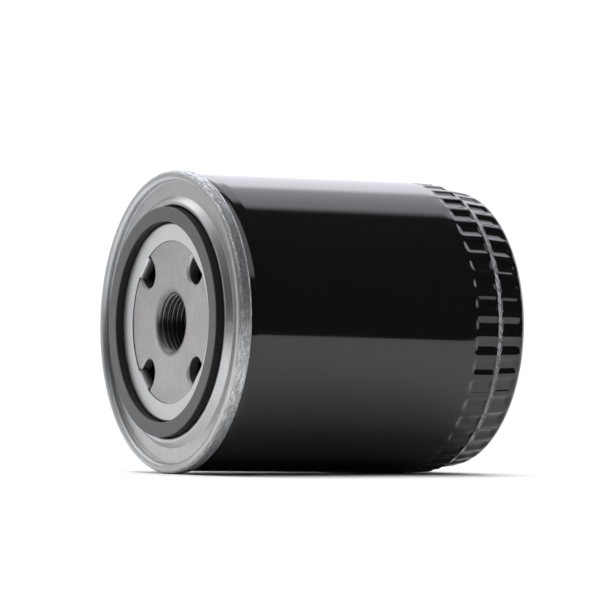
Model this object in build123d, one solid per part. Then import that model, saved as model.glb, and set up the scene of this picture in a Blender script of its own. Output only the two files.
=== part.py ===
from build123d import *
import math
import os

# A spin-on engine oil filter, lying on its side.
# The filter's axis is Y. The gasket's sealing face is the plane y = 0 and faces -Y,
# the closed end of the can points to +Y, and +Z is up.

# ---- can -------------------------------------------------------------------------
can_diameter = 93.0
overall_length = 110.0       # sealing face of the gasket to the crown of the closed end
can_sheet = 0.5
crown_rise = 3.0             # how far the closed end domes out past its flat margin
crown_margin = 9.5           # from the can's wall in to the edge of the crown
shoulder_radius = 3.0
neck_length = 2.2            # taper from the seam's body wall out to the full can

# ---- grip flutes at the closed end -------------------------------------------------
flute_count = 44
flute_ridge = 1.3            # width of the rib left between two flutes
flute_depth = 0.7
front_row_length = 8.6
rear_row_length = 6.5
row_gap = 2.0                # plain ring between the two rows
row_step = 1.15              # the can steps down by this much across that ring
flute_lead_in = 1.7
flute_turn = -1.0            # degrees that the first flute is turned about the axis
front_row_taper = 0.3
rear_row_taper = 1.2
flute_end_margin = 3.3       # end of the rear row back from the closed end's flat margin

# ---- seaming lid and double seam ---------------------------------------------------
lid_sheet = 0.65
seam_overhang = 0.9          # of the seam beyond the can's wall
seam_height = 4.7
seam_gap = 0.05              # sealing compound between each pair of plies
lid_hole_diameter = 51.2
lid_annulus_depth = 2.2      # flat of the lid below the crest of the seam
lid_rim_depth = 0.95         # rim of the hole below the crest of the seam
lid_lip_height = 0.35        # lips beside the gasket, below the crest of the seam
lug_reach = 1.1              # to the middle of each lug's sheet, in past the rim
lug_drop = 2.0
lug_bend = 0.9
lug_side_gap = 0.35

# ---- gasket ------------------------------------------------------------------------
gasket_outer_diameter = 72.0
gasket_inner_diameter = 62.8
gasket_thickness = 5.3
gasket_stand = 2.2           # sealing face ahead of the crest of the seam
gasket_groove_gap = 0.15
gasket_edge = 0.35

# ---- thread plate ------------------------------------------------------------------
plate_thickness = 3.2
plate_rim_room = 1.75        # between the plate's edge and the lid's chuck wall
boss_recess = 0.35           # front of the plate's boss behind the front of the lid's rim
boss_gap = 0.25              # around the boss, inside the lid's hole
thread_minor_diameter = 17.4
thread_depth = 0.825
threads_per_inch = 16
thread_collar_wall = 3.1     # from the crests of the thread to the outside of the collar
thread_collar_length = 10.0  # from the front face of the plate
thread_entry_radius = 2.0
inlet_count = 4
inlet_width = 8.8
inlet_inner_radius = 17.6    # from the axis to the round end of an inlet
inlet_outer_radius = 29.5
inlet_angle = 43.4           # degrees that the first inlet is turned about the axis
inlet_edge = 0.7             # rounded-over edge on the punched side of each inlet

# ---- drain-back valve --------------------------------------------------------------
valve_rubber = 1.3
valve_lip_diameter = 69.0
valve_lip_section = 1.5
valve_sleeve_length = 4.2
valve_flange_thickness = 1.6
valve_hole_room = 0.7        # between the thread's crests and the valve's hole

# ---- filter element ----------------------------------------------------------------
element_end_room = 18.5      # between the element and the crown, for the spring
oil_annulus = 8.0            # between the end caps and the inside of the can
cap_sheet = 0.4
cap_rim_height = 3.4
outlet_room = 1.1            # between the thread's crests and the end cap's hole
mount_cap_neck = 2.4
bed_thickness = 2.0
paper_rim_room = 1.5         # between the folds of the paper and the outside of the caps
paper_inner_diameter = 35.6
paper_thickness = 0.5
pleat_count = 48
pleat_outer_fold = 1.3
pleat_inner_fold = 0.9
clip_sheet = 0.3
clip_depth = 4.0
tube_diameter = 33.2
tube_sheet = 0.5
tube_hole_diameter = 4.0
tube_holes_around = 10
tube_row_pitch = 6.0
tube_plain_end = 4.0         # at least this much tube without holes at each end

# ---- bypass valve ------------------------------------------------------------------
bypass_hole_diameter = 16.0
bypass_seat_sheet = 0.6
bypass_seat_depth = 4.6
bypass_wall_diameter = 24.0
bypass_flange_diameter = 31.0
cage_sheet = 0.5
cage_diameter = 26.4
cage_length = 24.0
cage_window_width = 7.0
cage_window_length = 13.0
cage_windows = 4
poppet_diameter = 20.4
poppet_thickness = 1.0
seal_thickness = 1.4
seal_hole_diameter = 9.0
stem_diameter = 4.0
stem_gap = 0.3
bypass_spring_diameter = 13.0    # to the middle of the wire
bypass_spring_wire = 1.2
bypass_spring_turns = 6
bypass_travel = 3.5

# ---- spring between the element and the crown --------------------------------------
spring_plate_sheet = 0.8
spring_plate_diameter = 40.0
spring_plate_rim = 2.2
element_spring_diameter = 28.0   # to the middle of the wire
element_spring_wire = 2.0
element_spring_turns = 3.5

fit_gap = 0.03               # between stacked parts that press on each other
sleeve_gap = 0.05            # between a sleeve and the tube inside or around it
crimp_gap = 0.35             # room in the dome cap's hole for the bend of the bypass seat

os.makedirs("parts", exist_ok=True)


def sheet(points, thickness, radii):
    """The section of bent sheet metal, from the points (radius, y) along its middle."""
    return trace(FilletPolyline(*points, radius=radii), line_width=thickness)


def ring(section):
    """A solid of revolution about the filter's axis."""
    return revolve(section, axis=Axis.Y, revolution_arc=360)


def block(inner, outer, low, high):
    """A plain rectangular section between two radii and two y values."""
    return make_face(Polyline((inner, low), (outer, low), (outer, high), (inner, high), close=True))


def around(shape, count, first=0.0):
    """Copies of a shape spaced evenly about the filter's axis."""
    return [Rot(0, first + index * 360 / count, 0) * shape for index in range(count)]


def coil(diameter, wire, turns, low, high):
    """A coil spring along Y that fills the space from low to high."""
    height = high - low - wire
    path = Helix(pitch=height / turns, height=height, radius=diameter / 2)
    start = Plane(origin=path @ 0, z_dir=path % 0)
    solid = sweep(start * Circle(wire / 2), path=path, is_frenet=True)
    return Pos(0, low + wire / 2, 0) * Rot(-90, 0, 0) * solid


# ---- sizes that follow from the others ---------------------------------------------
can_radius = can_diameter / 2
crown_diameter = can_diameter - 2 * crown_margin
seam_diameter = can_diameter + 2 * seam_overhang
thread_major_diameter = thread_minor_diameter + 2 * thread_depth
thread_collar_diameter = thread_minor_diameter + 2 * thread_collar_wall
valve_hole_diameter = thread_minor_diameter + 2 * valve_hole_room
mount_cap_hole_diameter = thread_minor_diameter + 2 * outlet_room
cap_diameter = can_diameter - 2 * can_sheet - 2 * oil_annulus
paper_outer_diameter = cap_diameter - 2 * paper_rim_room

# ---- shared levels along the axis --------------------------------------------------
seam_front = gasket_stand
seam_rear = seam_front + seam_height
lid_rim_front = seam_front + lid_rim_depth
lid_lip_front = seam_front + lid_lip_height
lid_annulus_front = seam_front + lid_annulus_depth
groove_floor = gasket_thickness + fit_gap
plate_front = lid_rim_front + boss_recess
plate_shoulder_front = lid_rim_front + lid_sheet + fit_gap
plate_flange_front = groove_floor + lid_sheet + fit_gap
plate_flange_back = plate_flange_front + plate_thickness
collar_end = plate_front + thread_collar_length
element_front = collar_end + valve_flange_thickness + 2 * fit_gap
element_rear = overall_length - element_end_room
margin_level = overall_length - crown_rise

# ---- plies of the double seam, from the outside in ----------------------------------
seam_outer_ply = seam_diameter / 2 - lid_sheet / 2
body_hook_ply = seam_outer_ply - lid_sheet / 2 - seam_gap - can_sheet / 2
cover_hook_ply = body_hook_ply - can_sheet / 2 - seam_gap - lid_sheet / 2
body_wall_ply = cover_hook_ply - lid_sheet / 2 - seam_gap - can_sheet / 2
chuck_wall_ply = body_wall_ply - can_sheet / 2 - seam_gap - lid_sheet / 2
plate_diameter = 2 * (chuck_wall_ply - lid_sheet / 2 - plate_rim_room)
crest_middle = seam_front + lid_sheet / 2
hook_bottom = seam_rear - lid_sheet / 2
compound_bead = 0.5
body_hook_crest = seam_front + lid_sheet + compound_bead + 2 * seam_gap + can_sheet / 2


def crown_level(radius):
    """Level of the outside of the crown, which is part of a sphere, at a radius."""
    half_width = crown_diameter / 2
    sphere = (half_width**2 + crown_rise**2) / (2 * crown_rise)
    return overall_length - sphere + math.sqrt(sphere**2 - radius**2)


def make_lid():
    """Seaming lid: drawn sheet with the gasket groove, the chuck wall and the seam's curl."""
    half = lid_sheet / 2
    groove_inner = gasket_inner_diameter / 2 - gasket_groove_gap - half
    groove_outer = gasket_outer_diameter / 2 + gasket_groove_gap + half
    floor_middle = groove_floor + half
    lip_middle = lid_lip_front + half
    annulus_middle = lid_annulus_front + half
    lip_width = 0.9
    slope_width = 2.0
    points = [
        (lid_hole_diameter / 2, lid_rim_front + half),
        (groove_inner, lip_middle),
        (groove_inner, floor_middle),
        (groove_outer, floor_middle),
        (groove_outer, lip_middle),
        (groove_outer + lip_width, lip_middle),
        (groove_outer + lip_width + slope_width, annulus_middle),
        (chuck_wall_ply, annulus_middle),
        (chuck_wall_ply, crest_middle),
        (seam_outer_ply, crest_middle),
        (seam_outer_ply, hook_bottom),
        (cover_hook_ply, hook_bottom),
        (cover_hook_ply, body_hook_crest + can_sheet / 2 + 4 * seam_gap),
    ]
    tight = half + 0.1
    crest_bend = (seam_outer_ply - chuck_wall_ply) / 2 - 0.05
    hook_bend = (seam_outer_ply - cover_hook_ply) / 2 - 0.05
    radii = [tight] * 5 + [0.8, 0.6, crest_bend, crest_bend, hook_bend, hook_bend]
    lid = ring(sheet(points, lid_sheet, radii))
    # four lugs bent back into the inlets keep the lid and the plate from turning
    lug_line = FilletPolyline(
        (lid_hole_diameter / 2 + 0.6, lid_rim_front + half),
        (lid_hole_diameter / 2 - lug_reach + 0.1, lid_rim_front + half),
        (lid_hole_diameter / 2 - lug_reach, lid_rim_front + half + lug_drop),
        radius=lug_bend,
    )
    lug_half_width = inlet_width / 2 - lug_side_gap
    lug = extrude(trace(lug_line, line_width=lid_sheet), amount=lug_half_width, both=True)
    return lid + around(lug, inlet_count, inlet_angle)


def make_can():
    """Deep-drawn can: body hook, neck, straight wall, two rows of flutes and the domed closed end."""
    wall_middle = can_radius - can_sheet / 2
    hook_bend = (body_hook_ply - body_wall_ply) / 2 - 0.03
    hook_end = hook_bottom - lid_sheet / 2 - 2 * seam_gap
    neck_start = seam_rear + 0.5
    band_front = margin_level - flute_end_margin - rear_row_length - row_gap - front_row_length
    wall_line = FilletPolyline(
        (body_hook_ply, hook_end),
        (body_hook_ply, body_hook_crest),
        (body_wall_ply, body_hook_crest),
        (body_wall_ply, neck_start),
        (wall_middle, neck_start + neck_length),
        (wall_middle, band_front),
        radius=[hook_bend, hook_bend, 1.0, 1.0],
    )
    wall = trace(wall_line, line_width=can_sheet)

    step_front = band_front + front_row_length
    step_rear = step_front + row_gap
    row_end = step_rear + rear_row_length
    front_radius = can_radius - front_row_taper
    rear_radius = front_radius - row_step
    end_radius = rear_radius - rear_row_taper
    thick = can_sheet + flute_depth
    outer = FilletPolyline(
        (can_radius, band_front),
        (front_radius, step_front),
        (rear_radius, step_rear),
        (end_radius, margin_level),
        (crown_diameter / 2, margin_level),
        radius=[1.0, 0.8, shoulder_radius],
    )
    inner = FilletPolyline(
        (can_radius - can_sheet, band_front),
        (can_radius - thick, band_front + flute_lead_in),
        (front_radius - thick, step_front),
        (rear_radius - thick, step_rear),
        (end_radius - thick, margin_level - can_sheet),
        (crown_diameter / 2, margin_level - can_sheet),
        radius=[0.5, 0.6, 0.6, shoulder_radius - can_sheet],
    )
    crown_outer = ThreePointArc(
        (crown_diameter / 2, margin_level),
        (crown_diameter / 4, crown_level(crown_diameter / 4)),
        (0, overall_length),
    )
    crown_inner = Pos(0, -can_sheet, 0) * crown_outer
    closed_end = make_face(
        [
            outer,
            crown_outer,
            Line(crown_outer @ 1, crown_inner @ 1),
            crown_inner,
            inner,
            Line(inner @ 0, outer @ 0),
        ]
    )
    can = ring(wall) + ring(closed_end)

    # the flutes: a hollow pressed in between each pair of ribs, round across and
    # sloping out at both ends
    pitch = 2 * math.pi * can_radius / flute_count
    half_width = (pitch - flute_ridge) / 2
    hollow_radius = (half_width**2 + flute_depth**2) / (2 * flute_depth)
    above = 3.0
    front_pocket = make_face(
        Polyline(
            (can_radius + above, band_front - flute_lead_in),
            (can_radius, band_front),
            (can_radius - flute_depth, band_front + flute_lead_in),
            (front_radius - flute_depth, step_front - 0.5),
            (front_radius + 0.2, step_front),
            (can_radius + above, step_front + 0.3),
            close=True,
        )
    )
    rear_pocket = make_face(
        Polyline(
            (rear_radius + above, step_rear - 0.6),
            (rear_radius + 0.2, step_rear),
            (rear_radius - flute_depth, step_rear + 0.6),
            (end_radius - flute_depth, row_end - 1.4),
            (end_radius, row_end),
            (end_radius + above, row_end + 0.8),
            close=True,
        )
    )

    def hollow(pocket, front, rear, front_wall, rear_wall):
        """One pocket, cut to a round hollow that follows the taper of its row."""
        slope = math.atan((front_wall - rear_wall) / (rear - front))
        middle = (front_wall + rear_wall) / 2 - flute_depth + hollow_radius
        barrel = Pos(middle, (front + rear) / 2, 0) * Rot(90, 0, 0) * Rot(0, -math.degrees(slope), 0)
        return extrude(pocket, amount=half_width, both=True) & barrel * Cylinder(hollow_radius, 3 * rear_row_length)

    front_tool = hollow(front_pocket, band_front, step_front, can_radius, front_radius)
    rear_tool = hollow(rear_pocket, step_rear, row_end, rear_radius, end_radius)
    cuts = around(front_tool, flute_count, flute_turn) + around(rear_tool, flute_count, flute_turn)
    return can - cuts


def make_plate():
    """Thread plate: thick disc with a boss that fills the lid's hole and a drawn and tapped collar."""
    half = plate_thickness / 2
    groove_wall = gasket_inner_diameter / 2 - gasket_groove_gap - lid_sheet
    step_outer = groove_wall - 1.3
    step_inner = step_outer - 3.2
    disc = sheet(
        [
            (thread_collar_diameter / 2 - 1.0, plate_shoulder_front + half),
            (step_inner, plate_shoulder_front + half),
            (step_outer, plate_flange_front + half),
            (plate_diameter / 2, plate_flange_front + half),
        ],
        plate_thickness,
        2.2,
    )
    minor = thread_minor_diameter / 2
    collar = block(minor, thread_collar_diameter / 2, plate_front, collar_end)
    boss_radius = lid_hole_diameter / 2 - boss_gap
    boss = block(minor, boss_radius, plate_front, plate_shoulder_front + half)
    plate = ring(disc) + ring(collar + boss)
    entry = plate.edges().filter_by(GeomType.CIRCLE).filter_by(lambda edge: abs(edge.radius - minor) < 0.01)
    plate = fillet(entry.sort_by(Axis.Y)[0], thread_entry_radius)

    pitch = 25.4 / threads_per_inch
    grooves = []
    position = plate_front + thread_entry_radius + pitch / 2
    while position < collar_end - pitch / 2:
        mouth = pitch * 3 / 8
        root = pitch / 16
        grooves.append(
            make_face(
                Polyline(
                    (minor - 0.2, position - mouth),
                    (minor, position - mouth),
                    (thread_major_diameter / 2, position - root),
                    (thread_major_diameter / 2, position + root),
                    (minor, position + mouth),
                    (minor - 0.2, position + mouth),
                    close=True,
                )
            )
        )
        position += pitch
    plate -= [ring(groove) for groove in grooves]

    slot_length = inlet_outer_radius - inlet_inner_radius
    slot = SlotOverall(slot_length, inlet_width)
    slot = Plane.XZ * Pos(inlet_inner_radius + slot_length / 2, 0) * slot
    tool = extrude(slot, amount=2 * plate_flange_back, both=True)
    mouth_slot = SlotOverall(slot_length + 2 * inlet_edge, inlet_width + 2 * inlet_edge)
    mouth_plane = Plane(origin=(0, plate_front, 0), x_dir=(1, 0, 0), z_dir=(0, 1, 0))
    mouth_slot = mouth_plane * Pos(inlet_inner_radius + slot_length / 2, 0) * mouth_slot
    mouth_tool = extrude(mouth_slot, amount=1.5 * inlet_edge, taper=45)
    return plate - around(tool + mouth_tool, inlet_count, inlet_angle)


def make_gasket():
    """Square-section rubber sealing ring, loose in the lid's groove."""
    section = block(gasket_inner_diameter / 2, gasket_outer_diameter / 2, 0, gasket_thickness)
    return ring(fillet(section.vertices(), gasket_edge))


def make_drainback_valve():
    """One-piece rubber membrane: a sleeve on the collar, a clamped flange and a lip resting on the plate."""
    sleeve_inner = thread_collar_diameter / 2 + sleeve_gap
    sleeve_outer = sleeve_inner + valve_rubber
    flange_front = collar_end + fit_gap
    flange_back = flange_front + valve_flange_thickness
    hub = block(sleeve_inner, sleeve_outer, collar_end - valve_sleeve_length, flange_back)
    flange = block(valve_hole_diameter / 2, sleeve_outer, flange_front, flange_back)
    lip_middle = valve_lip_diameter / 2 - valve_lip_section / 2
    lip_centre = (lip_middle, plate_flange_back + fit_gap + valve_lip_section / 2)
    skirt = sheet(
        [(sleeve_outer - 0.3, collar_end - 0.6), (sleeve_outer + 6.0, collar_end - 0.9), lip_centre],
        valve_rubber,
        6.0,
    )
    lip = Pos(*lip_centre) * Circle(valve_lip_section / 2)
    return ring(hub + flange + skirt + lip)


def make_mount_cap():
    """End cap at the thread: pressed steel cup that holds the adhesive, with a short neck at the outlet."""
    half = cap_sheet / 2
    rim = cap_diameter / 2 - half
    neck = mount_cap_hole_diameter / 2 + half
    return ring(
        sheet(
            [
                (neck, element_front + mount_cap_neck),
                (neck, element_front + half),
                (rim, element_front + half),
                (rim, element_front + cap_rim_height),
            ],
            cap_sheet,
            [0.5, 0.6],
        )
    )


def make_dome_cap():
    """End cap at the closed end, with a hole that the bypass seat is crimped into."""
    half = cap_sheet / 2
    rim = cap_diameter / 2 - half
    return ring(
        sheet(
            [
                (bypass_wall_diameter / 2 + crimp_gap, element_rear - half),
                (rim, element_rear - half),
                (rim, element_rear - cap_rim_height),
            ],
            cap_sheet,
            0.6,
        )
    )


tube_front = element_front + cap_sheet + fit_gap
tube_rear = element_rear - cap_sheet - fit_gap
bed_inner = tube_diameter / 2 + sleeve_gap
bed_outer = cap_diameter / 2 - cap_sheet - sleeve_gap
paper_front = tube_front + bed_thickness + fit_gap
paper_rear = tube_rear - bed_thickness - fit_gap


def make_bed(front, rear):
    """Ring of adhesive that seals the ends of the pleats into an end cap."""
    return ring(fillet(block(bed_inner, bed_outer, front, rear).vertices(), 0.4))


def make_centre_tube():
    """Perforated steel tube that keeps the paper from collapsing inwards."""
    tube = ring(block(tube_diameter / 2 - tube_sheet, tube_diameter / 2, tube_front, tube_rear))
    middle = (tube_front + tube_rear) / 2
    tube_hole_rows = int((tube_rear - tube_front - 2 * tube_plain_end) / tube_row_pitch)
    first = middle - (tube_hole_rows - 1) * tube_row_pitch / 2
    drill = Pos(tube_diameter / 2, 0, 0) * Rot(0, 90, 0) * Cylinder(tube_hole_diameter / 2, 6.0)
    holes = []
    for row in range(tube_hole_rows):
        turn = (row % 2) * 180 / tube_holes_around
        level = Pos(0, first + row * tube_row_pitch, 0)
        holes += [level * hole for hole in around(drill, tube_holes_around, turn)]
    return tube - holes


def pleat_outline(outer, inner, outer_fold, inner_fold):
    """Closed zigzag of the folded paper, with a short flat at each fold."""
    points = []
    half_pitch = math.pi / pleat_count
    for index in range(pleat_count):
        angle = 2 * half_pitch * index
        folds = ((outer, outer_fold, angle), (inner, inner_fold, angle + half_pitch))
        for radius, flat, middle in folds:
            swing = math.asin(flat / 2 / radius)
            for turn in (middle - swing, middle + swing):
                points.append((radius * math.cos(turn), radius * math.sin(turn)))
    return make_face(Polyline(*points, close=True))


def make_paper():
    """Pleated filter paper: one long strip folded into a star and closed on itself."""
    sheet_gap = paper_thickness * 2
    star = pleat_outline(
        paper_outer_diameter / 2,
        paper_inner_diameter / 2 + paper_thickness,
        pleat_outer_fold,
        pleat_inner_fold - sheet_gap / 2,
    )
    hollow = pleat_outline(
        paper_outer_diameter / 2 - paper_thickness,
        paper_inner_diameter / 2,
        pleat_outer_fold - sheet_gap,
        pleat_inner_fold + sheet_gap / 4,
    )
    section = Plane.XZ * (star - hollow)
    solid = extrude(section, amount=-(paper_rear - paper_front))
    return Pos(0, paper_front, 0) * solid


def make_seam_clip():
    """Folded metal strip that grips the two ends of the paper, over one pleat."""
    half = pleat_outer_fold / 2 + 0.45 + clip_sheet / 2
    top = paper_outer_diameter / 2 + 0.15 + clip_sheet / 2
    corners = [(top - clip_depth, -half), (top, -half), (top, half), (top - clip_depth, half)]
    section = sheet(corners, clip_sheet, 0.3)
    solid = extrude(Plane.XZ * section, amount=-(paper_rear - paper_front))
    return Pos(0, paper_front, 0) * solid


# ---- levels of the bypass valve, from the dome cap inwards ---------------------------
seat_flange_front = element_rear + fit_gap
seat_lip_rear = element_rear - bypass_seat_depth
seat_lip_front = seat_lip_rear - bypass_seat_sheet
seal_rear = seat_lip_front - fit_gap
poppet_rear = seal_rear - seal_thickness - fit_gap
poppet_front = poppet_rear - poppet_thickness
cage_rear = element_rear - cap_sheet - fit_gap
cage_front = cage_rear - cage_length


def make_bypass_seat():
    """Stamped seat of the bypass valve: flange outside the end cap, wall through it, seat lip inside."""
    half = bypass_seat_sheet / 2
    wall = bypass_wall_diameter / 2 - half - sleeve_gap
    return ring(
        sheet(
            [
                (bypass_flange_diameter / 2, seat_flange_front + half),
                (wall, seat_flange_front + half),
                (wall, seat_lip_front + half),
                (bypass_hole_diameter / 2, seat_lip_front + half),
            ],
            bypass_seat_sheet,
            0.6,
        )
    )


def make_bypass_cage():
    """Stamped cage behind the seat: carries the spring and guides the stem, with windows for the oil."""
    half = cage_sheet / 2
    wall = cage_diameter / 2 - half
    flange = tube_diameter / 2 - tube_sheet - 0.4
    cage = ring(
        sheet(
            [
                (flange, cage_rear - half),
                (wall, cage_rear - half),
                (wall, cage_front + half),
                (stem_diameter / 2 + stem_gap, cage_front + half),
            ],
            cage_sheet,
            0.5,
        )
    )
    window = Pos(wall, (cage_front + cage_rear) / 2, 0) * Box(6.0, cage_window_length, cage_window_width)
    return cage - around(window, cage_windows)


def make_bypass_poppet():
    """Valve disc with its guide stem."""
    disc = block(0, poppet_diameter / 2, poppet_front, poppet_rear)
    stem = block(0, stem_diameter / 2, cage_front - bypass_travel, poppet_front)
    return ring(disc) + ring(stem)


def make_bypass_seal():
    """Rubber washer bonded to the face of the disc."""
    return ring(block(seal_hole_diameter / 2, poppet_diameter / 2 + 0.2, poppet_rear + fit_gap, seal_rear))


def make_spring_plate():
    """Dished plate that spreads the load of the coil spring onto the element."""
    half = spring_plate_sheet / 2
    front = seat_flange_front + bypass_seat_sheet + fit_gap
    locating = element_spring_diameter / 2 - element_spring_wire / 2 - 0.4 - half
    return ring(
        sheet(
            [
                (locating, front + spring_plate_rim),
                (locating, front + half),
                (spring_plate_diameter / 2, front + half),
            ],
            spring_plate_sheet,
            0.7,
        )
    )


def make_element_spring():
    """Coil spring that presses the element onto the thread plate."""
    low = seat_flange_front + bypass_seat_sheet + 2 * fit_gap + spring_plate_sheet
    high = crown_level(element_spring_diameter / 2 + element_spring_wire / 2) - can_sheet - fit_gap
    return coil(element_spring_diameter, element_spring_wire, element_spring_turns, low, high)


def make_bypass_spring():
    """Coil spring that holds the bypass valve shut."""
    low = cage_front + cage_sheet + fit_gap
    return coil(bypass_spring_diameter, bypass_spring_wire, bypass_spring_turns, low, poppet_front - fit_gap)


def make_compound():
    """Bead of sealing compound squeezed between the lid and the can under the crest of the seam."""
    middle = (chuck_wall_ply + seam_outer_ply) / 2
    level = seam_front + lid_sheet + seam_gap + compound_bead / 2
    return ring(Pos(middle, level) * Circle(compound_bead / 2))


nodes = {
    "can": make_can(),
    "seaming_lid": make_lid(),
    "thread_plate": make_plate(),
    "gasket": make_gasket(),
    "seam_compound": make_compound(),
    "drainback_valve": make_drainback_valve(),
    "mount_end_cap": make_mount_cap(),
    "dome_end_cap": make_dome_cap(),
    "mount_adhesive": make_bed(tube_front, paper_front - fit_gap),
    "dome_adhesive": make_bed(paper_rear + fit_gap, tube_rear),
    "centre_tube": make_centre_tube(),
    "filter_paper": make_paper(),
    "paper_seam_clip": make_seam_clip(),
    "bypass_seat": make_bypass_seat(),
    "bypass_cage": make_bypass_cage(),
    "bypass_poppet": make_bypass_poppet(),
    "bypass_seal": make_bypass_seal(),
    "bypass_spring": make_bypass_spring(),
    "spring_plate": make_spring_plate(),
    "element_spring": make_element_spring(),
}

for name, solid in nodes.items():
    export_step(solid, f"parts/{name}.step")
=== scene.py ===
import math
import bmesh
import bpy
import numpy as np
from mathutils import Matrix, Vector


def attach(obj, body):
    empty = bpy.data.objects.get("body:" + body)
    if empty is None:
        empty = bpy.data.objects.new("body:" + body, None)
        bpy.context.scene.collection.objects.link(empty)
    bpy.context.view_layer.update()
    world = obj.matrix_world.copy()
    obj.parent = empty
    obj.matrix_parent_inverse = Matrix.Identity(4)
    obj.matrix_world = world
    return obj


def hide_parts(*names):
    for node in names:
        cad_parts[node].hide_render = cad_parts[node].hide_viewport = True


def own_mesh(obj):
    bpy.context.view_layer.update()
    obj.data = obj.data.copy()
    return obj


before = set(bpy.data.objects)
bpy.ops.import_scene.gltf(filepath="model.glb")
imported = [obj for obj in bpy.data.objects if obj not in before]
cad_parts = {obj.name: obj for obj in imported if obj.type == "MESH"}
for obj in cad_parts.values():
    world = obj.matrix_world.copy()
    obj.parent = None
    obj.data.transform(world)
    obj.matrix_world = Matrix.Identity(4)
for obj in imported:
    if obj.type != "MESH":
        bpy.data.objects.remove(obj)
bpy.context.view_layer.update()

MM = 0.001

# Camera. A long lens a step away from the filter, level with its lower half and turned
# 61 degrees round from the thread, so that the lid and one side of the can are both seen.
camera_azimuth = math.radians(60.976)
camera_elevation = math.radians(-0.997)
camera_roll = math.radians(0.989)
camera_distance = 1.6479
camera_aim = Vector((0.0, 49.47, 7.97)) * MM
camera_data = bpy.data.cameras.new("camera")
camera_data.lens = 312.3
camera_data.sensor_width = 36.0
camera_data.clip_end = 20.0
camera = bpy.data.objects.new("camera", camera_data)
bpy.context.collection.objects.link(camera)
toward_camera = Vector(
    (
        math.sin(camera_azimuth) * math.cos(camera_elevation),
        -math.cos(camera_azimuth) * math.cos(camera_elevation),
        math.sin(camera_elevation),
    )
)
camera.location = camera_aim + toward_camera * camera_distance
level_right = Vector((math.cos(camera_azimuth), math.sin(camera_azimuth), 0.0))
level_up = toward_camera.cross(level_right)
camera_right = level_right * math.cos(camera_roll) + level_up * math.sin(camera_roll)
camera_up = toward_camera.cross(camera_right)
turn = Matrix((camera_right, camera_up, toward_camera)).transposed()
camera.rotation_mode = "QUATERNION"
camera.rotation_quaternion = turn.to_quaternion()
bpy.context.scene.camera = camera


# Shader arithmetic. A Signal is one output of a shader node: the operators add Math nodes,
# and the node method adds any other node and gives one of its outputs.
class Signal:
    def __init__(self, tree, output=None):
        self.tree = tree
        self.output = output

    def node(self, kind, settings=None, sockets=None, take=0):
        made = self.tree.nodes.new(kind)
        for name, value in (settings or {}).items():
            setattr(made, name, value)
        for name, value in (sockets or {}).items():
            if isinstance(value, Signal):
                self.tree.links.new(value.output, made.inputs[name])
            else:
                made.inputs[name].default_value = value
        return Signal(self.tree, made.outputs[take])

    def math(self, operation, *others):
        sockets = dict(enumerate((self, *others)))
        return self.node("ShaderNodeMath", {"operation": operation}, sockets)

    def __add__(self, other):
        return self.math("ADD", other)

    def __sub__(self, other):
        return self.math("SUBTRACT", other)

    def __mul__(self, other):
        return self.math("MULTIPLY", other)

    def __rsub__(self, other):
        return self.node("ShaderNodeMath", {"operation": "SUBTRACT"}, {0: other, 1: self})

    __radd__ = __add__
    __rmul__ = __mul__

    def step(self, start, end):
        """0 before start, 1 after end, and smooth between them."""
        sockets = {"Value": self, "From Min": start, "From Max": end}
        return self.node("ShaderNodeMapRange", {"interpolation_type": "SMOOTHSTEP"}, sockets)


def shade(graph, factor, dark, light):
    """A colour between two others, by a factor from 0 to 1."""
    ends = [end if isinstance(end, Signal) else (*end, 1.0) for end in (dark, light)]
    sockets = {0: factor, 6: ends[0], 7: ends[1]}
    return graph.node("ShaderNodeMix", {"data_type": "RGBA"}, sockets, take=2)


# Studio. A wide white sweep behind the filter, brighter towards its top, with a softbox off
# its closed end, another overhead in front of the lid, and a dimmer white wall on the lid's
# side. The rest of the ceiling and the right are black, which gives the enamel its dark band.
world = bpy.data.worlds.new("studio")
bpy.context.scene.world = world
world.use_nodes = True
world.node_tree.nodes.clear()
sky = Signal(world.node_tree)
ray = sky.node("ShaderNodeTexCoord", take="Generated")
split = sky.node("ShaderNodeSeparateXYZ", sockets={0: ray})
east = split
north = Signal(sky.tree, split.output.node.outputs[1])
rise = Signal(sky.tree, split.output.node.outputs[2])
sweep_east = -0.875
sweep_north = 0.485
behind = east * sweep_east + north * sweep_north
north_side = north.step(-0.12, 0.08)
wall = behind.step(0.70, 0.80) * north_side
valance = behind.step(0.33, 0.44) * north_side * (1.0 - wall)
wall_glow = 1.15 + rise * 0.5 + rise * rise * 4.2
lamp = north.step(0.90, 0.96)
overhead_box = north.step(-0.46, -0.38) * (1.0 - north.step(-0.04, 0.04)) * rise.step(0.52, 0.6)
reflector = (1.0 - east.step(-0.75, 0.45)) * (1.0 - north.step(-0.3, 0.2))
dark_room = 0.012
glow = dark_room + wall * wall_glow + valance * 1.6 + lamp * 1.05 + reflector * 0.73 + overhead_box * 1.7
seen_by_camera = sky.node("ShaderNodeLightPath", take="Is Camera Ray")
backdrop = 1.05
mixed = {"Factor": seen_by_camera, "A": glow, "B": backdrop}
strength = sky.node("ShaderNodeMix", {"data_type": "FLOAT"}, mixed)
white = (1.0, 1.0, 1.0)
cool_white = (0.97, 0.98, 1.05)
panel_tint = shade(sky, wall + valance, white, cool_white)
tint = shade(sky, seen_by_camera, panel_tint, white)
background = sky.node("ShaderNodeBackground", sockets={"Color": tint, "Strength": strength})
output = sky.tree.nodes.new("ShaderNodeOutputWorld")
sky.tree.links.new(background.output, output.inputs["Surface"])
bpy.context.scene.view_settings.view_transform = "Standard"


# Floor. A round of white card; the filter rests on it with the rim of its seam and the back
# of the can, so the card stands very slightly askew to the filter's own axis.
def new_material(name):
    """An empty material, and the Signal that adds nodes to it."""
    made = bpy.data.materials.new(name)
    made.use_nodes = True
    made.node_tree.nodes.clear()
    return made, Signal(made.node_tree)


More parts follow.
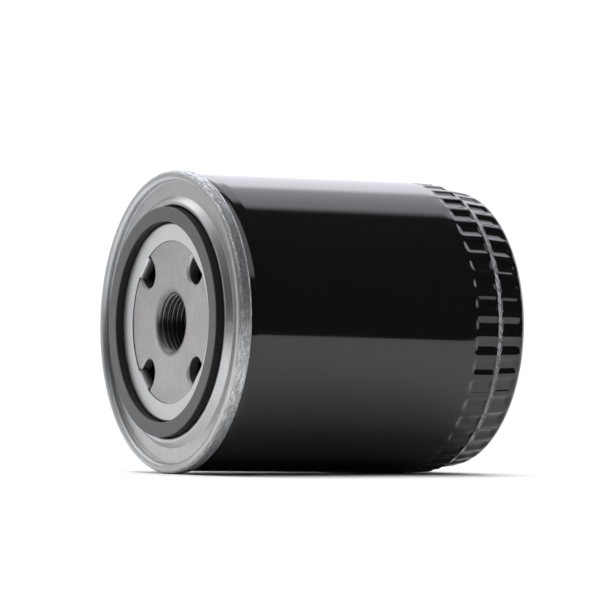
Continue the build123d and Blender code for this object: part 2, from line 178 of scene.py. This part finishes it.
def finish_material(graph, sockets):
    """The shader of a material, with these inputs, as its surface."""
    shader = graph.node("ShaderNodeBsdfPrincipled", sockets=sockets)
    surface = graph.tree.nodes.new("ShaderNodeOutputMaterial")
    graph.tree.links.new(shader.output, surface.inputs["Surface"])


def object_place(graph):
    return graph.node("ShaderNodeTexCoord", take="Object")


def noise(graph, place, scale, detail=2.0, roughness=0.5):
    sockets = {"Vector": place, "Scale": scale, "Detail": detail, "Roughness": roughness}
    return graph.node("ShaderNodeTexNoise", sockets=sockets)


rim_radius = 47.4 * MM
rim_contact = 4.5 * MM
can_radius = 46.5 * MM
can_contact = 86.0 * MM
floor_radius = 0.33
floor_middle = 0.045
floor_tilt = math.atan((rim_radius - can_radius) / (can_contact - rim_contact))
bpy.ops.mesh.primitive_circle_add(vertices=128, radius=floor_radius, fill_type="NGON")
floor = bpy.context.object
floor.name = "floor"
floor.rotation_euler = (floor_tilt, 0.0, 0.0)
floor_drop = (floor_middle - rim_contact) * math.tan(floor_tilt)
floor.location = (0.0, floor_middle, floor_drop - rim_radius)
card, graph = new_material("white_card")
place = object_place(graph)
fibre = noise(graph, place, 900.0, 4.0)
finish_material(
    graph,
    {"Base Color": shade(graph, fibre, (0.88, 0.88, 0.88), (0.93, 0.93, 0.93)), "Roughness": 0.9},
)
floor.data.materials.append(card)

# Overhead light. A wide round diffuser a metre up, which whitens the card. It is kept out of
# reflections, because the studio's own panels are what the enamel and the metal mirror.
fill_data = bpy.data.lights.new("overhead", "AREA")
fill_data.shape = "DISK"
fill_data.size = 1.2
fill_data.energy = 10.0
fill = bpy.data.objects.new("overhead", fill_data)
bpy.context.collection.objects.link(fill)
fill.location = (0.0, 0.05, 1.0)
fill.visible_glossy = False
fill.visible_camera = False


# Can. Deep-drawn steel, dipped in gloss black stove enamel after the seam was closed. The two
# rows of grip flutes are pressed in from outside, so their edges are soft under the enamel.
def rounded(points, radii, steps=8):
    """A line through the points with each inner corner rounded to its radius."""
    line = [points[0]]
    for before, corner, after, radius in zip(points, points[1:], points[2:], radii):
        corner = np.array(corner)
        to_before = (np.array(before) - corner) / math.dist(before, corner)
        to_after = (np.array(after) - corner) / math.dist(after, corner)
        half = math.acos(max(-1.0, min(1.0, float(to_before @ to_after)))) / 2
        cut = radius / math.tan(half)
        start = corner + to_before * cut
        end = corner + to_after * cut
        middle = corner + (to_before + to_after) / (2 * math.cos(half)) * radius / math.sin(half)
        first = math.atan2(*(start - middle)[::-1])
        sweep = math.atan2(*(end - middle)[::-1]) - first
        sweep = (sweep + math.pi) % (2 * math.pi) - math.pi
        for step in range(steps + 1):
            turned = first + sweep * step / steps
            line.append((middle[0] + radius * math.cos(turned), middle[1] + radius * math.sin(turned)))
    line.append(points[-1])
    return line


def refined(line, longest):
    """The same line with its long stretches divided."""
    fine = [line[0]]
    for (r0, y0), (r1, y1) in zip(line, line[1:]):
        pieces = max(1, math.ceil(math.dist((r0, y0), (r1, y1)) / longest))
        for piece in range(1, pieces + 1):
            fine.append((r0 + (r1 - r0) * piece / pieces, y0 + (y1 - y0) * piece / pieces))
    return np.array(fine)


def smooth_step(value, start, end):
    """0 before start, 1 after end, and smooth between them."""
    share = np.clip((value - start) / (end - start), 0.0, 1.0)
    return share * share * (3.0 - 2.0 * share)


def hump(value, rise_start, rise_end, fall_start, fall_end):
    """1 between rise_end and fall_start, and falling smoothly to 0 on both sides."""
    return smooth_step(value, rise_start, rise_end) * (1.0 - smooth_step(value, fall_start, fall_end))


def turned_mesh(name, radius, level, segments, closed=True):
    """A surface of revolution about Y, from radius and level grids, in millimetres."""
    rows = level.shape[0]
    angle = np.arange(segments) * 2 * math.pi / segments
    radius = np.broadcast_to(radius, (rows, segments))
    level = np.broadcast_to(level, (rows, segments))
    points = np.stack([radius * np.cos(angle), level, radius * np.sin(angle)], axis=-1).reshape(-1, 3) * MM
    row, column = np.meshgrid(np.arange(rows if closed else rows - 1), np.arange(segments), indexing="ij")
    after_row = (row + 1) % rows
    after_column = (column + 1) % segments
    faces = np.stack(
        [
            row * segments + column,
            after_row * segments + column,
            after_row * segments + after_column,
            row * segments + after_column,
        ],
        axis=-1,
    ).reshape(-1, 4)
    mesh = bpy.data.meshes.new(name)
    mesh.from_pydata(points.tolist(), [], faces.tolist())
    mesh.shade_smooth()
    return mesh


flute_count = 44
flute_depth = 0.74
flute_centre = math.radians(1.0)
flute_share = 0.80  # of the pitch between flutes
points_per_flute = 24
can_length = 110.0
crown_edge = 37.0
crown_rise = 3.0
pole = 0.02  # the smallest ring at the middle of the crown
# the outer line, in millimetres: seam, neck, body, fluted shoulder, corner and edge of the crown
can_corners = [
    (45.25, 4.9),
    (45.25, 6.9),
    (46.2, 9.2),
    (46.5, 12.5),
    (46.5, 86.6),
    (46.2, 95.2),
    (45.05, 97.2),
    (43.85, 107.0),
    (crown_edge, 107.0),
]
can_line = rounded(can_corners, [0.8, 4.0, 6.0, 1.5, 0.9, 0.8, 3.0])
crown_sphere = (crown_edge**2 + crown_rise**2) / (2.0 * crown_rise)
crown_line = [
    (radius, can_length - crown_sphere + math.sqrt(crown_sphere**2 - radius**2))
    for radius in [*np.linspace(crown_edge - 1.0, 0.1, 24), pole]
]
outside = refined(can_line + crown_line, 2.5)
band = (outside[:, 1] > 85.0) & (outside[:, 0] > 43.0)
fine = refined([tuple(point) for point in outside[band]], 0.16)
band_start = int(np.argmax(band))
band_end = band_start + int(band.sum())
outside = np.concatenate([outside[:band_start], fine, outside[band_end:]])
inner_corners = [
    (pole, 109.5),
    (36.0, 106.6),
    (42.0, 106.3),
    (43.0, 104.0),
    (43.9, 97.0),
    (45.0, 86.0),
    (46.0, 82.0),
    (46.0, 10.0),
    (45.0, 7.4),
    (45.0, 4.9),
]
section = np.concatenate([outside, np.array(inner_corners)])
segments = flute_count * points_per_flute
around = np.arange(segments) * 2 * math.pi / segments
share = (around - flute_centre) * flute_count / (2 * math.pi)
share = (share + 0.5) % 1.0 - 0.5
# a parabola across each flute, with its foot softened so that the edges are round
across = 1.0 - (2.0 * share / flute_share) ** 2
edge_softness = 0.02
across = (across + np.sqrt(across**2 + edge_softness)) / 2
across = across - across.min()
y = section[:, 1]
is_outside = (np.arange(len(section)) < len(outside)) & (section[:, 0] > 42.0)
front_row = hump(y, 86.3, 88.7, 94.3, 95.9)
rear_row = hump(y, 96.7, 98.1, 103.0, 105.4)
between_rows = hump(y, 94.4, 95.4, 97.0, 98.0)
step_share = 0.32  # of the flutes' depth, along the line between the rows
pressed = np.maximum(front_row + rear_row, step_share * between_rows) * is_outside
# the pressing tool left the line between the rows slightly uneven
ripple_depth = 0.028
level_column = y[:, None]
ripple = np.sin(37 * around + 2.1 * level_column) + np.sin(83 * around - 1.3 * level_column)
ripple = ripple + np.sin(139 * around + 3.7 * level_column)
pressed_ripple = ripple_depth * (between_rows * is_outside)[:, None] * ripple
radius = section[:, :1] - flute_depth * pressed[:, None] * across[None, :] + pressed_ripple
can_mesh = turned_mesh("can_skin", radius, section[:, 1:], segments)
can_skin = bpy.data.objects.new("can_skin", can_mesh)
bpy.context.collection.objects.link(can_skin)
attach(can_skin, "shell")
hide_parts("can")


def cells_at(graph, place, scale):
    return graph.node("ShaderNodeTexVoronoi", sockets={"Vector": place, "Scale": scale})


def bumped(graph, height, depth):
    """The surface's normal, made uneven by a height from 0 to 1 times a depth in metres."""
    sockets = {"Strength": 1.0, "Distance": depth, "Height": height}
    return graph.node("ShaderNodeBump", sockets=sockets)


enamel, graph = new_material("black_enamel")
place = object_place(graph)
peel = noise(graph, place, 700.0, 1.0)
haze = noise(graph, place, 22.0, 3.0)
cells = cells_at(graph, place, 420.0)
cell_colour = Signal(graph.tree, cells.output.node.outputs[1])
chosen = graph.node("ShaderNodeSeparateColor", sockets={0: cell_colour})
dust = (1.0 - cells.step(0.03, 0.09)) * chosen.step(0.93, 0.94)
bump = bumped(graph, peel, 1.6e-6)
finish_material(
    graph,
    {
        "Base Color": shade(graph, dust, (0.007, 0.007, 0.0071), (0.05, 0.05, 0.048)),
        "Roughness": 0.045 + haze * 0.05 + dust * 0.3,
        "IOR": 1.52,
        "Normal": bump,
    },
)
can_skin.data.materials.append(enamel)


# Seaming lid. Bright zinc-plated sheet, pressed with the gasket's groove and rolled over the
# can's edge. The plating is faintly clouded, and the seaming rollers left fine lines round it.
def coat(material, *names):
    """Give CAD pieces a material in every slot."""
    for name in names:
        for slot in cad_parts[name].material_slots:
            slot.material = material


def round_coordinates(graph, place):
    """Radius and angle about the filter's axis, and the level along it."""
    split = graph.node("ShaderNodeSeparateXYZ", sockets={0: place})
    outputs = split.output.node.outputs
    x, y, z = (Signal(graph.tree, outputs[index]) for index in range(3))
    return (x * x + z * z).math("SQRT"), z.math("ARCTAN2", x), y


def joined(graph, x, y, z):
    return graph.node("ShaderNodeCombineXYZ", sockets={0: x, 1: y, 2: z})


def scaled(graph, place, scale):
    """The same place with each direction stretched, for a pattern with a grain."""
    return graph.node("ShaderNodeMapping", sockets={"Vector": place, "Scale": scale})


zinc, graph = new_material("bright_zinc")
place = object_place(graph)
radius, angle, level = round_coordinates(graph, place)
cloud = noise(graph, place, 90.0, 4.0, 0.6)
grain = noise(graph, place, 1500.0, 3.0, 0.6)
grained = scaled(graph, place, (12.0, 200.0, 420.0))
rolled = noise(graph, grained, 4.0, 3.0)
round_place = joined(graph, radius * 2600.0, angle * 3.0, level * 2600.0)
roller_lines = noise(graph, round_place, 1.0, 3.0, 0.6)
on_seam = radius.step(0.0440, 0.0448)
on_skirt = radius.step(0.0466, 0.0471)
inner_rim = 1.0 - radius.step(0.0308, 0.0314)
# painted shade: the lugs are darkened where they bend in towards the inlets
lug_shade = (1.0 - radius.step(0.0252, 0.0257)) * level.step(0.00310, 0.0036)
streak_place = joined(graph, angle * 16.0, level * 2500.0, radius * 2500.0)
streaks = noise(graph, streak_place, 1.0, 3.0, 0.7)
specks = noise(graph, place, 2300.0, 2.0, 0.7)
rubbed = (streaks * 0.6 + specks * 0.4).step(0.42, 0.58)
dents = noise(graph, place, 1100.0, 2.0, 0.6)
relief = rolled * 0.5 + grain * 0.5 + on_seam * (roller_lines * 2.4 + dents * 4.5 + streaks * 3.0)
bump = bumped(graph, relief, 7.0e-6)
tone = cloud * 0.5 + grain * 0.3 + inner_rim * 0.65 + on_skirt * (rubbed * 1.25 - 0.85)
plated = shade(graph, tone, (0.34, 0.35, 0.36), (0.74, 0.752, 0.762))
# a near-black painted shade colour for the lugs, not a colour of the steel
painted_lug_shade_colour = (0.08, 0.08, 0.08)
worn = on_seam * 0.08 + on_skirt * (1.0 - rubbed) * 0.2
lid_roughness = 0.3 + cloud * 0.12 + worn + lug_shade * 0.2
finish_material(
    graph,
    {
        "Base Color": shade(graph, lug_shade * 0.85, plated, painted_lug_shade_colour),
        "Metallic": 1.0,
        "Roughness": lid_roughness,
        "Normal": bump,
    },
)
coat(zinc, "seaming_lid")


# Thread plate. Pressed steel with a dull phosphated skin, its four inlets punched through, and
# the collar's hole tapped with a real right-hand helical thread in place of plain rings.
plate_front = 3.5  # millimetres, as are the other sizes of the bore
bore_end = 13.5
entry_radius = 2.0
entry_end = plate_front + entry_radius
thread_pitch = 25.4 / 16
thread_minor = 8.7
thread_major = 9.525
bore_reach = 10.9  # beyond every face of the plain bore, and within the collar's outside
bore_segments = 120


def thread_radius(level, angle):
    """The bore's radius: a rounded entry, then a groove that winds along and runs out."""
    phase = (level / thread_pitch + angle / (2 * math.pi)) % 1.0
    off_root = np.abs(phase - 0.5) * thread_pitch
    groove_foot = thread_pitch * 3 / 8
    root_flat = thread_pitch / 16
    flank = np.clip((groove_foot - off_root) / (groove_foot - root_flat), 0.0, 1.0)
    run_out = 1.0 - smooth_step(level, bore_end - 0.8, bore_end - 0.1)
    groove = thread_minor + (thread_major - thread_minor) * flank * run_out
    drop = np.clip(entry_end - level, 0.0, entry_radius)
    mouth = thread_minor + entry_radius - np.sqrt(entry_radius**2 - drop**2)
    return np.maximum(groove, mouth)


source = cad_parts["thread_plate"]
plate_mesh = source.data.copy()
plate_mesh.name = "plate_skin"
plate_mesh.materials.clear()
plate_mesh.transform(source.matrix_world)
shell_of_plate = bmesh.new()
shell_of_plate.from_mesh(plate_mesh)
bore_faces = []
for face in shell_of_plate.faces:
    middle = face.calc_center_median() / MM
    between_ends = plate_front + 0.0001 < middle.y < bore_end - 0.001
    if between_ends and math.hypot(middle.x, middle.z) < bore_reach:
        bore_faces.append(face)
bmesh.ops.delete(shell_of_plate, geom=bore_faces, context="FACES")
entry_levels = np.linspace(plate_front, entry_end, 26)
thread_levels = np.linspace(entry_end + 0.08, bore_end, 106)
bore_level = np.concatenate([entry_levels, thread_levels])[:, None]
bore_around = np.arange(bore_segments) * 2 * math.pi / bore_segments
bore_radius = thread_radius(bore_level, bore_around[None, :])
bore_mesh = turned_mesh("thread_bore", bore_radius, bore_level, bore_segments, closed=False)
shell_of_plate.from_mesh(bore_mesh)
shell_of_plate.to_mesh(plate_mesh)
shell_of_plate.free()
plate_mesh.set_sharp_from_angle(angle=math.radians(28.0))
plate_skin = bpy.data.objects.new("plate_skin", plate_mesh)
bpy.context.collection.objects.link(plate_skin)
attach(plate_skin, "shell")
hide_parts("thread_plate")

phosphate, graph = new_material("phosphated_steel")
place = object_place(graph)
radius, _, level = round_coordinates(graph, place)
grain = noise(graph, place, 2200.0, 3.0, 0.65)
patch = noise(graph, place, 120.0, 4.0, 0.6)
pits = cells_at(graph, place, 1600.0)
pit = 1.0 - pits.step(0.08, 0.3)
# painted shade: the bore is darkened where the hole's shade falls, and is also made smoother
turned = 1.0 - radius.step(0.0094, 0.0114)
# painted shade on everything behind the plate's front face, such as the inlet walls
shade_behind_front = level.step(0.0038, 0.0046)
scratch_place = scaled(graph, place, (130.0, 1.0, 900.0))
scratch = noise(graph, scratch_place, 1.0, 2.0, 0.7).step(0.66, 0.72) * patch.step(0.5, 0.62)
relief = grain * 0.7 + patch * 0.6 - pit * 0.5
tone = grain * 0.6 + patch * 0.5 - pit * 0.25 + scratch * 0.45
skin = shade(graph, tone, (0.28, 0.27, 0.273), (0.72, 0.698, 0.704))
# the painted shade of the bore and of the inlet walls, mixed towards a near-black colour
cut = turned * 0.8 + shade_behind_front * (1.0 - turned) * 0.62
hole_shade_colour = (0.075, 0.073, 0.072)
bump = bumped(graph, relief, 9.0e-6)
finish_material(
    graph,
    {
        "Base Color": shade(graph, cut, skin, hole_shade_colour),
        "Metallic": 1.0,
        "Roughness": 0.52 + patch * 0.12 - turned * 0.24,
        "Normal": bump,
    },
)
plate_skin.data.materials.append(phosphate)


# Gasket. Moulded nitrile ring pushed into the lid's groove; its sealing face is grey, and the
# walls are painted near black, a painted shade where less light falls on them.
rubber, graph = new_material("nitrile_gasket")
place = object_place(graph)
level = round_coordinates(graph, place)[2]
grain = noise(graph, place, 1800.0, 4.0, 0.7)
smear = noise(graph, place, 140.0, 4.0, 0.6)
face = 1.0 - level.step(0.00012, 0.0005)
# painted shade: only the sealing face is grey, and the walls are kept near black
grey_face_shaded_walls = face * (0.72 + smear * 0.35 + grain * 0.2)
bump = bumped(graph, grain + smear, 8.0e-6)
finish_material(
    graph,
    {
        "Base Color": shade(graph, grey_face_shaded_walls, (0.009, 0.009, 0.0095), (0.15, 0.15, 0.152)),
        "Roughness": 0.55 + grain * 0.15 + grey_face_shaded_walls * 0.1,
        "Specular IOR Level": 0.32,
        "Normal": bump,
    },
)
coat(rubber, "gasket")


# Drain-back valve. One black nitrile membrane behind the plate, with a faint oily sheen.
membrane, graph = new_material("nitrile_membrane")
place = object_place(graph)
grain = noise(graph, place, 1500.0, 3.0, 0.6)
oil = noise(graph, place, 70.0, 3.0)
bump = bumped(graph, grain, 1.0e-5)
finish_material(
    graph,
    {
        "Base Color": shade(graph, grain, (0.012, 0.012, 0.012), (0.028, 0.027, 0.027)),
        "Roughness": 0.34 + oil * 0.3,
        "Normal": bump,
    },
)
coat(membrane, "drainback_valve")

compound, graph = new_material("seam_compound")
place = object_place(graph)
lumps = noise(graph, place, 600.0, 4.0, 0.6)
bump = bumped(graph, lumps, 3.0e-5)
finish_material(
    graph,
    {
        "Base Color": shade(graph, lumps, (0.18, 0.17, 0.155), (0.34, 0.33, 0.30)),
        "Roughness": 0.7,
        "Normal": bump,
    },
)
coat(compound, "seam_compound")


# Element's metalwork. End caps, centre tube, seam clip, bypass valve and spring plate are
# stamped from bright tin-plated sheet, with the sheet's grain and a few rub marks.
tinplate, graph = new_material("tinplate")
place = object_place(graph)
stretched = scaled(graph, place, (500.0, 30.0, 900.0))
sheet_grain = noise(graph, stretched, 1.0, 4.0, 0.6)
bloom = noise(graph, place, 110.0, 4.0, 0.6)
bump = bumped(graph, sheet_grain + bloom, 4.0e-6)
tone = bloom * 0.6 + sheet_grain * 0.4
finish_material(
    graph,
    {
        "Base Color": shade(graph, tone, (0.46, 0.47, 0.47), (0.72, 0.73, 0.725)),
        "Metallic": 1.0,
        "Roughness": 0.22 + bloom * 0.2,
        "Normal": bump,
    },
)
coat(tinplate, "mount_end_cap", "dome_end_cap", "centre_tube", "paper_seam_clip")
coat(tinplate, "bypass_seat", "bypass_cage", "bypass_poppet", "spring_plate")

seal, graph = new_material("bypass_rubber")
place = object_place(graph)
grain = noise(graph, place, 1600.0, 3.0, 0.6)
bump = bumped(graph, grain, 1.0e-5)
finish_material(
    graph,
    {
        "Base Color": shade(graph, grain, (0.02, 0.02, 0.02), (0.045, 0.044, 0.043)),
        "Roughness": 0.6,
        "Normal": bump,
    },
)
coat(seal, "bypass_seal")


# Adhesive. Cream plastisol poured into each end cap and cured round the ends of the pleats.
plastisol, graph = new_material("plastisol")
place = object_place(graph)
flow = noise(graph, place, 160.0, 4.0, 0.6)
bubbles = cells_at(graph, place, 500.0)
bubble = 1.0 - bubbles.step(0.1, 0.3)
bump = bumped(graph, flow - bubble * 0.6, 5.0e-5)
finish_material(
    graph,
    {
        "Base Color": shade(graph, flow - bubble * 0.3, (0.46, 0.41, 0.30), (0.66, 0.60, 0.46)),
        "Roughness": 0.4 + flow * 0.15,
        "Normal": bump,
    },
)
coat(plastisol, "mount_adhesive", "dome_adhesive")


# Filter paper. Resin-treated cellulose, creased at the pleats, with loose fibres and rows of
# small embossed dimples that keep the folds apart.
paper, graph = new_material("filter_paper")
place = object_place(graph)
radius, _, level = round_coordinates(graph, place)
fibres = noise(graph, place, 1400.0, 5.0, 0.7)
stain = noise(graph, place, 60.0, 3.0)
dimple_rows = (level * 1400.0).math("SINE") * (radius * 1400.0).math("SINE")
dimple = dimple_rows.step(0.5, 0.9)
bump = bumped(graph, fibres * 0.5 + dimple, 6.0e-5)
finish_material(
    graph,
    {
        "Base Color": shade(graph, fibres * 0.7 + stain * 0.3, (0.52, 0.40, 0.20), (0.80, 0.68, 0.42)),
        "Roughness": 0.85,
        "Normal": bump,
    },
)
coat(paper, "filter_paper")


# Springs. Oil-tempered drawn wire, darker than the stampings, with lengthwise draw marks.
wire, graph = new_material("spring_wire")
place = object_place(graph)
radius, angle, level = round_coordinates(graph, place)
drawn_place = joined(graph, radius * 9000.0, angle * 6.0, level * 2000.0)
drawn = noise(graph, drawn_place, 1.0, 3.0)
temper = noise(graph, place, 90.0, 3.0)
bump = bumped(graph, drawn, 5.0e-6)
finish_material(
    graph,
    {
        "Base Color": shade(graph, temper * 0.6 + drawn * 0.4, (0.20, 0.20, 0.22), (0.46, 0.45, 0.45)),
        "Metallic": 1.0,
        "Roughness": 0.3 + temper * 0.15,
        "Normal": bump,
    },
)


def squashed_spring(name, body, fixed_side):
    """A copy of a CAD spring in the wire material, on its body; it finds the end on its fixed side but
    does not shorten the spring.
    """
    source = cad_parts[name]
    spring_mesh = source.data.copy()
    spring_mesh.name = name + "_wire"
    spring_mesh.transform(source.matrix_world)
    spring_mesh.materials.clear()
    spring_mesh.materials.append(wire)
    spring = bpy.data.objects.new(name + "_wire", spring_mesh)
    bpy.context.collection.objects.link(spring)
    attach(spring, body)
    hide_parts(name)
    levels = [vertex.co.y for vertex in spring_mesh.vertices]
    fixed_end = fixed_side(levels)
    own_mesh(spring)


squashed_spring("bypass_spring", "element", min)
squashed_spring("element_spring", "shell", max)
